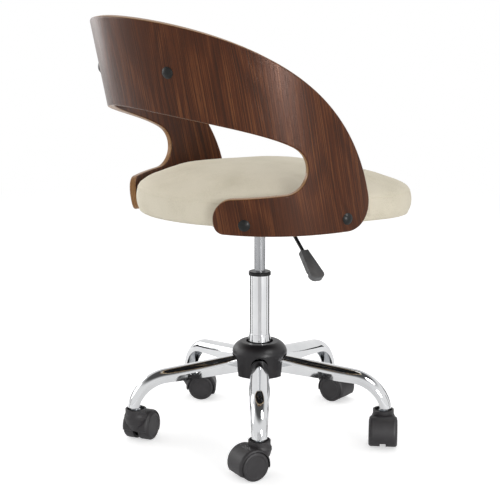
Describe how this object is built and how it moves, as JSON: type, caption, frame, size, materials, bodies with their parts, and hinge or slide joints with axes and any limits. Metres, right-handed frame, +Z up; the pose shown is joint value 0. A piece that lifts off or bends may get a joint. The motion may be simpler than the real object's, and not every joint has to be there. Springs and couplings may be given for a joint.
{
  "type": "desk chair",
  "caption": "Low swivel desk chair with a bent walnut back shell, a cream D-shaped seat, a chrome gas column with a height lever, and a chrome star base on swivel casters.",
  "frame": {"origin": "on the floor, on the axis of the gas column", "axes": "+Z up; the sitter faces -Y; +X is on the sitter's left"},
  "size_m": [0.497, 0.5496, 0.7432],
  "materials": {
    "walnut_ply": "satin lacquer",
    "birch_ply": "raw",
    "cream_leatherette": "semi-matt",
    "dust_cloth": "matt",
    "zinc_steel": "satin",
    "bright_steel": "ground",
    "nylon": "matt",
    "brown_plastic": "semi-gloss",
    "black_steel": "powder coat",
    "chrome": "polished",
    "grey_plastic": "fine texture",
    "rubber": "matt",
    "black_plastic": "satin",
    "black_nylon": "fine texture"
  },
  "bodies": {
    "base": {"base_hub": "chrome", "base_arm_1": "chrome", "base_arm_2": "chrome", "base_arm_3": "chrome", "base_arm_4": "chrome", "base_arm_5": "chrome", "caster_sockets": "zinc_steel", "hub_cover": "black_plastic", "column_tube": "chrome", "column_foot_ring": "chrome", "guide_bush": "grey_plastic", "thrust_washers": "bright_steel", "thrust_cage": "bright_steel"},
    "spindle": {"piston_rod": "bright_steel", "rod_buffer": "rubber", "rod_clip": "bright_steel"},
    "seat": {"gas_cylinder": "chrome", "cylinder_gland": "nylon", "cone_socket": "black_steel", "seat_plate": "black_steel", "plate_bolts": "zinc_steel", "seat_board": "birch_ply", "seat_cushion": "cream_leatherette", "underside_cloth": "dust_cloth", "back_shell": "walnut_ply", "foot_bolts": "zinc_steel", "foot_spacers": "nylon", "bolt_caps": "brown_plastic", "back_bolts": "zinc_steel", "pad_board": "birch_ply", "back_pad": "cream_leatherette", "lever_bush": "nylon"},
    "valve_pin": {"release_pin": "zinc_steel"},
    "lever": {"lever_rod": "chrome", "lever_grip": "grey_plastic"},
    "caster_1": {"caster_1_hood": "black_nylon", "caster_1_stem": "zinc_steel", "caster_1_axle": "zinc_steel"},
    "caster_1_left_wheel": {"caster_1_wheel_left": "black_nylon"},
    "caster_1_right_wheel": {"caster_1_wheel_right": "black_nylon"},
    "caster_2": {"caster_2_hood": "black_nylon", "caster_2_stem": "zinc_steel", "caster_2_axle": "zinc_steel"},
    "caster_2_left_wheel": {"caster_2_wheel_left": "black_nylon"},
    "caster_2_right_wheel": {"caster_2_wheel_right": "black_nylon"},
    "caster_3": {"caster_3_hood": "black_nylon", "caster_3_stem": "zinc_steel", "caster_3_axle": "zinc_steel"},
    "caster_3_left_wheel": {"caster_3_wheel_left": "black_nylon"},
    "caster_3_right_wheel": {"caster_3_wheel_right": "black_nylon"},
    "caster_4": {"caster_4_hood": "black_nylon", "caster_4_stem": "zinc_steel", "caster_4_axle": "zinc_steel"},
    "caster_4_left_wheel": {"caster_4_wheel_left": "black_nylon"},
    "caster_4_right_wheel": {"caster_4_wheel_right": "black_nylon"},
    "caster_5": {"caster_5_hood": "black_nylon", "caster_5_stem": "zinc_steel", "caster_5_axle": "zinc_steel"},
    "caster_5_left_wheel": {"caster_5_wheel_left": "black_nylon"},
    "caster_5_right_wheel": {"caster_5_wheel_right": "black_nylon"}
  },
  "joints": [
    {"name": "seat_swivel", "type": "hinge", "parent": "base", "child": "spindle", "pos_m": [0, 0, 0.109], "axis": [0, 0, 1], "continuous": true},
    {"name": "seat_height", "type": "slide", "parent": "spindle", "child": "seat", "axis": [0, 0, 1], "range_m": [-0.065, 0.045]},
    {"name": "lever_lift", "type": "hinge", "parent": "seat", "child": "lever", "pos_m": [-0.05075, 0, 0.3991], "axis": [0, 1, 0], "range_deg": [0, 3.5], "stiffness_Nm_per_rad": 20},
    {"name": "valve_press", "type": "slide", "parent": "seat", "child": "valve_pin", "axis": [0, 0, 1], "range_m": [-0.0032, 0]},
    {"name": "caster_1_swivel", "type": "hinge", "parent": "base", "child": "caster_1", "pos_m": [0.22957, 0.01404, 0.06], "axis": [0, 0, 1], "continuous": true},
    {"name": "caster_1_left_spin", "type": "hinge", "parent": "caster_1", "child": "caster_1_left_wheel", "pos_m": [0.21882, -0.00283, 0.025], "axis": [-0.8434, 0.5373, 0], "continuous": true},
    {"name": "caster_1_right_spin", "type": "hinge", "parent": "caster_1", "child": "caster_1_right_wheel", "pos_m": [0.21882, -0.00283, 0.025], "axis": [-0.8434, 0.5373, 0], "continuous": true},
    {"name": "caster_2_swivel", "type": "hinge", "parent": "base", "child": "caster_2", "pos_m": [0.05759, 0.22267, 0.06], "axis": [0, 0, 1], "continuous": true},
    {"name": "caster_2_left_spin", "type": "hinge", "parent": "caster_2", "child": "caster_2_left_wheel", "pos_m": [0.06906, 0.20629, 0.025], "axis": [-0.8192, -0.5736, 0], "continuous": true},
    {"name": "caster_2_right_spin", "type": "hinge", "parent": "caster_2", "child": "caster_2_right_wheel", "pos_m": [0.06906, 0.20629, 0.025], "axis": [-0.8192, -0.5736, 0], "continuous": true},
    {"name": "caster_3_swivel", "type": "hinge", "parent": "base", "child": "caster_3", "pos_m": [-0.19398, 0.12358, 0.06], "axis": [0, 0, 1], "continuous": true},
    {"name": "caster_3_left_spin", "type": "hinge", "parent": "caster_3", "child": "caster_3_left_wheel", "pos_m": [-0.19311, 0.14356, 0.025], "axis": [0.999, -0.0436, 0], "continuous": true},
    {"name": "caster_3_right_spin", "type": "hinge", "parent": "caster_3", "child": "caster_3_right_wheel", "pos_m": [-0.19311, 0.14356, 0.025], "axis": [0.999, -0.0436, 0], "continuous": true},
    {"name": "caster_4_swivel", "type": "hinge", "parent": "base", "child": "caster_4", "pos_m": [-0.17747, -0.1463, 0.06], "axis": [0, 0, 1], "continuous": true},
    {"name": "caster_4_left_spin", "type": "hinge", "parent": "caster_4", "child": "caster_4_left_wheel", "pos_m": [-0.19313, -0.13385, 0.025], "axis": [0.6225, 0.7826, 0], "continuous": true},
    {"name": "caster_4_right_spin", "type": "hinge", "parent": "caster_4", "child": "caster_4_right_wheel", "pos_m": [-0.19313, -0.13385, 0.025], "axis": [0.6225, 0.7826, 0], "continuous": true},
    {"name": "caster_5_swivel", "type": "hinge", "parent": "base", "child": "caster_5", "pos_m": [0.08429, -0.214, 0.06], "axis": [0, 0, 1], "continuous": true},
    {"name": "caster_5_left_spin", "type": "hinge", "parent": "caster_5", "child": "caster_5_left_wheel", "pos_m": [0.06562, -0.22116, 0.025], "axis": [-0.3584, 0.9336, 0], "continuous": true},
    {"name": "caster_5_right_spin", "type": "hinge", "parent": "caster_5", "child": "caster_5_right_wheel", "pos_m": [0.06562, -0.22116, 0.025], "axis": [-0.3584, 0.9336, 0], "continuous": true}
  ],
  "couplings": [
    {"joint": "valve_press", "follows": "lever_lift", "m_per_rad": -0.05075}
  ]
}
